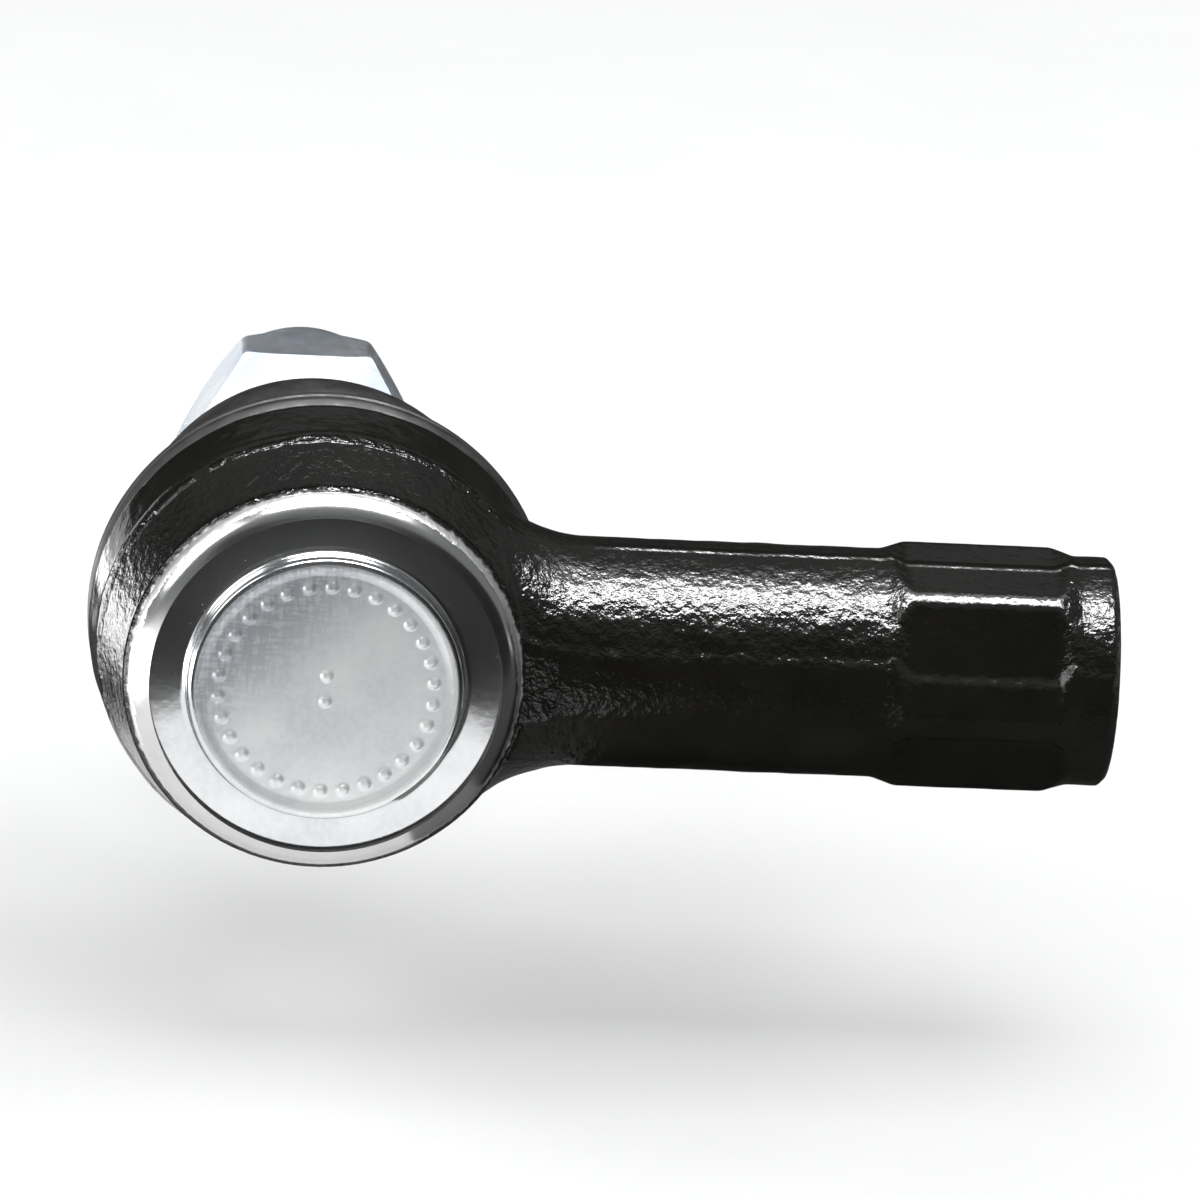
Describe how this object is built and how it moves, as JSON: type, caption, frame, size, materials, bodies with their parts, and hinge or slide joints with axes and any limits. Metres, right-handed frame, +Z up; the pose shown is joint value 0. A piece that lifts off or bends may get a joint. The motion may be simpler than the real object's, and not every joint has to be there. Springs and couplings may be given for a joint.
{
  "type": "tie rod end",
  "caption": "Outer tie rod end: ball stud in a forged socket with a threaded shank, a rubber dust boot, a pressed end cap and a lock nut.",
  "frame": {"origin": "centre of the ball, about which the stud swings", "axes": "+X along the shank, out of its threaded mouth; +Y along the stud, away from the end cap; +Z up"},
  "size_m": [0.0974, 0.084, 0.0442],
  "materials": {
    "forged_black": "glossy black paint over a rough forging",
    "zinc_sheet": "zinc plated pressed sheet",
    "zinc_nut": "bright zinc plate with a blue cast",
    "stud_steel": "turned and rolled steel",
    "spring_steel": "dark spring steel",
    "boot_rubber": "moulded black rubber",
    "bearing_plastic": "natural acetal",
    "nylon_insert": "blue nylon"
  },
  "bodies": {
    "socket": {"housing": "forged_black", "end_cap": "zinc_sheet", "upper_bearing": "bearing_plastic", "lower_bearing": "bearing_plastic", "preload_spring": "spring_steel", "boot_lower_ring": "spring_steel"},
    "boot": {"dust_boot": "boot_rubber"},
    "boot_collar": {"boot_upper_ring": "spring_steel"},
    "stud": {"ball_stud": "stud_steel"},
    "nut_carrier": {"nut_nylon_ring": "nylon_insert"},
    "nut": {"lock_nut": "zinc_nut"}
  },
  "joints": [
    {"name": "stud_tilt_x", "type": "hinge", "parent": "socket", "child": "boot", "pos_m": [0, 0, 0], "axis": [1, 0, 0], "range_deg": [-18, 18], "deforming": ["dust_boot"]},
    {"name": "stud_tilt_z", "type": "hinge", "parent": "boot", "child": "boot_collar", "pos_m": [0, 0, 0], "axis": [0, 0, 1], "range_deg": [-18, 18], "deforming": ["dust_boot"]},
    {"name": "stud_spin", "type": "hinge", "parent": "boot_collar", "child": "stud", "pos_m": [0, 0, 0], "axis": [0, 1, 0], "continuous": true},
    {"name": "nut_travel", "type": "slide", "parent": "stud", "child": "nut_carrier", "axis": [0, 1, 0], "range_m": [-0.004, 0.012]},
    {"name": "nut_turn", "type": "hinge", "parent": "nut_carrier", "child": "nut", "pos_m": [0, 0.06, 0], "axis": [0, 1, 0], "range_deg": [-1000, 2900]}
  ],
  "couplings": [
    {"joint": "nut_turn", "follows": "nut_travel", "rad_per_m": 4188.8}
  ]
}
